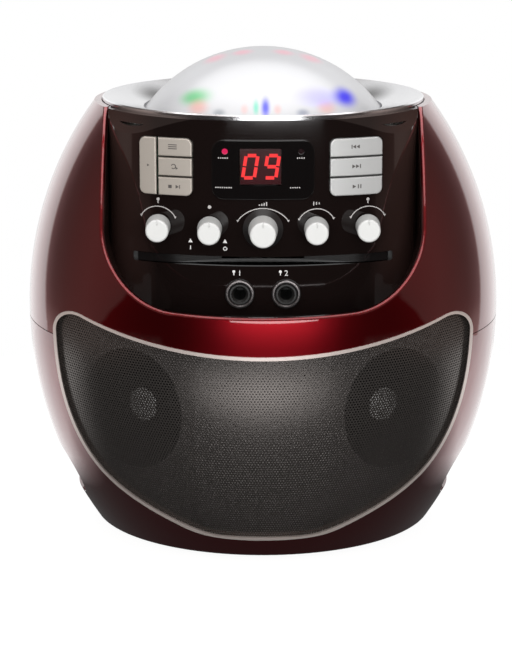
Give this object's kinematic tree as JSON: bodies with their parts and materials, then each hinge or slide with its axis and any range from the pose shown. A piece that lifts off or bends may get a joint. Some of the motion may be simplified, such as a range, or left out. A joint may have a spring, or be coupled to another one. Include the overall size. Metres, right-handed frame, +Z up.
{
  "type": "karaoke player with disc tray",
  "caption": "Ball-shaped karaoke disc player with a control well of knobs and keys, a sliding disc tray, microphone jacks, a curved speaker grille and a light dome.",
  "frame": {"origin": "middle of the face that the feet rest on, on the ball's axis", "axes": "+Z up; the control well, slot and grille face -Y; +X to the right seen from the front"},
  "size_m": [0.254, 0.2547, 0.2564],
  "materials": {
    "shell_red": "candy metallic gloss",
    "panel_black": "gloss",
    "bezel_smoke": "gloss",
    "ring_silver": "satin bright plating",
    "knob_silver": "satin bright plating",
    "key_silver": "silver paint",
    "lens_clear": "clear",
    "lens_faceted": "faceted clear",
    "lamp_lens": "tinted",
    "trim_grey": "satin",
    "grille_metal": "powder coat",
    "display_dark": "gloss",
    "inner_black": "moulded",
    "inner_white": "moulded",
    "steel": "plated sheet",
    "motor_steel": "plated",
    "cone_paper": "pressed paper",
    "board_green": "laminate",
    "jack_colours": "moulded",
    "rubber": "moulded"
  },
  "bodies": {
    "housing": {"upper_shell": "shell_red", "lower_shell": "shell_red", "control_panel": "panel_black", "top_ring": "ring_silver", "dome_lens": "lens_clear", "dome_base": "inner_white", "disco_leds": "lamp_lens", "disco_motor": "motor_steel", "grille_trim": "trim_grey", "speaker_grille": "grille_metal", "speaker_baffle": "inner_black", "speaker_frames": "steel", "speaker_cones": "cone_paper", "speaker_dust_caps": "cone_paper", "speaker_magnets": "motor_steel", "display_bezel": "bezel_smoke", "display_module": "display_dark", "indicator_lamps": "lamp_lens", "control_board": "board_green", "tact_switches": "inner_black", "potentiometers": "inner_black", "mic_jacks": "inner_black", "mic_jack_nuts": "knob_silver", "loading_motor": "motor_steel", "loading_belt": "rubber", "loader_chassis": "inner_black", "loader_stand": "steel", "clamp_bridge": "inner_black", "rear_panel": "inner_black", "mains_inlet": "inner_black", "av_jacks": "jack_colours", "rubber_feet": "rubber", "case_screws": "steel", "transformer": "motor_steel", "main_board": "board_green"},
    "disc_tray": {"disc_tray": "inner_black"},
    "tray_gear": {"tray_gear": "inner_white"},
    "motor_pulley": {"motor_pulley": "inner_white"},
    "pickup_frame": {"pickup_frame": "steel", "guide_rods": "steel", "spindle_motor": "motor_steel"},
    "pickup_carriage": {"pickup_carriage": "inner_black"},
    "turntable": {"turntable": "inner_white"},
    "clamp_disc": {"clamp_disc": "inner_white"},
    "lens_rotor": {"lens_rotor": "lens_faceted"},
    "disco_pinion": {"disco_pinion": "inner_white"},
    "knob_mic_one": {"knob_mic_one": "knob_silver"},
    "knob_mode": {"knob_mode": "knob_silver"},
    "knob_volume": {"knob_volume": "knob_silver"},
    "knob_echo": {"knob_echo": "knob_silver"},
    "knob_mic_two": {"knob_mic_two": "knob_silver"},
    "key_program_play": {"key_program_play": "key_silver"},
    "key_source": {"key_source": "key_silver"},
    "key_repeat": {"key_repeat": "key_silver"},
    "key_stop": {"key_stop": "key_silver"},
    "key_back": {"key_back": "key_silver"},
    "key_forward": {"key_forward": "key_silver"},
    "key_play_pause": {"key_play_pause": "key_silver"}
  },
  "joints": [
    {"name": "tray_slide", "type": "slide", "parent": "housing", "child": "disc_tray", "axis": [0, -1, 0], "range_m": [0, 0.112]},
    {"name": "tray_gear_spin", "type": "hinge", "parent": "housing", "child": "tray_gear", "pos_m": [0.07275, -0.024, 0.1569], "axis": [0, 0, 1], "range_deg": [0, 642.7]},
    {"name": "motor_pulley_spin", "type": "hinge", "parent": "housing", "child": "motor_pulley", "pos_m": [0.078, 0.016, 0.1466], "axis": [0, 0, 1], "range_deg": [0, 2786]},
    {"name": "pickup_drop", "type": "hinge", "parent": "housing", "child": "pickup_frame", "pos_m": [0, 0.049, 0.147], "axis": [1, 0, 0], "range_deg": [0, 4]},
    {"name": "pickup_travel", "type": "slide", "parent": "pickup_frame", "child": "pickup_carriage", "axis": [0, 1, 0], "range_m": [0, 0.0322]},
    {"name": "turntable_spin", "type": "hinge", "parent": "pickup_frame", "child": "turntable", "pos_m": [0, -0.021, 0.1578], "axis": [0, 0, 1], "continuous": true},
    {"name": "clamp_spin", "type": "hinge", "parent": "housing", "child": "clamp_disc", "pos_m": [0, -0.021, 0.1648], "axis": [0, 0, 1], "continuous": true},
    {"name": "lens_rotor_spin", "type": "hinge", "parent": "housing", "child": "lens_rotor", "pos_m": [0, 0, 0.2252], "axis": [0, 0, 1], "continuous": true},
    {"name": "disco_pinion_spin", "type": "hinge", "parent": "housing", "child": "disco_pinion", "pos_m": [0.04, 0, 0.2232], "axis": [0, 0, 1], "continuous": true},
    {"name": "knob_mic_one_turn", "type": "hinge", "parent": "housing", "child": "knob_mic_one", "pos_m": [-0.0533, -0.07885, 0.1738], "axis": [0, -1, 0], "range_deg": [-150, 150]},
    {"name": "knob_mode_turn", "type": "hinge", "parent": "housing", "child": "knob_mode", "pos_m": [-0.027, -0.08646, 0.1738], "axis": [0, -1, 0], "range_deg": [0, 60]},
    {"name": "knob_volume_turn", "type": "hinge", "parent": "housing", "child": "knob_volume", "pos_m": [0, -0.089, 0.1738], "axis": [0, -1, 0], "range_deg": [-150, 150]},
    {"name": "knob_echo_turn", "type": "hinge", "parent": "housing", "child": "knob_echo", "pos_m": [0.027, -0.08646, 0.1738], "axis": [0, -1, 0], "range_deg": [-150, 150]},
    {"name": "knob_mic_two_turn", "type": "hinge", "parent": "housing", "child": "knob_mic_two", "pos_m": [0.0533, -0.07885, 0.1738], "axis": [0, -1, 0], "range_deg": [-150, 150]},
    {"name": "key_program_play_press", "type": "slide", "parent": "housing", "child": "key_program_play", "axis": [0, 1, 0], "range_m": [0, 0.0008], "stiffness_N_per_m": 400, "springref_m": -0.0004},
    {"name": "key_source_press", "type": "slide", "parent": "housing", "child": "key_source", "axis": [0, 1, 0], "range_m": [0, 0.0008], "stiffness_N_per_m": 400, "springref_m": -0.0004},
    {"name": "key_repeat_press", "type": "slide", "parent": "housing", "child": "key_repeat", "axis": [0, 1, 0], "range_m": [0, 0.0008], "stiffness_N_per_m": 400, "springref_m": -0.0004},
    {"name": "key_stop_press", "type": "slide", "parent": "housing", "child": "key_stop", "axis": [0, 1, 0], "range_m": [0, 0.0008], "stiffness_N_per_m": 400, "springref_m": -0.0004},
    {"name": "key_back_press", "type": "slide", "parent": "housing", "child": "key_back", "axis": [0, 1, 0], "range_m": [0, 0.0008], "stiffness_N_per_m": 400, "springref_m": -0.0004},
    {"name": "key_forward_press", "type": "slide", "parent": "housing", "child": "key_forward", "axis": [0, 1, 0], "range_m": [0, 0.0008], "stiffness_N_per_m": 400, "springref_m": -0.0004},
    {"name": "key_play_pause_press", "type": "slide", "parent": "housing", "child": "key_play_pause", "axis": [0, 1, 0], "range_m": [0, 0.0008], "stiffness_N_per_m": 400, "springref_m": -0.0004}
  ],
  "couplings": [
    {"joint": "tray_gear_spin", "follows": "tray_slide", "rad_per_m": 100},
    {"joint": "motor_pulley_spin", "follows": "tray_slide", "rad_per_m": 433.33},
    {"joint": "pickup_drop", "follows": "tray_slide", "rad_per_m": 0.62271},
    {"joint": "clamp_spin", "follows": "turntable_spin", "ratio": 1},
    {"joint": "disco_pinion_spin", "follows": "lens_rotor_spin", "ratio": -3}
  ]
}
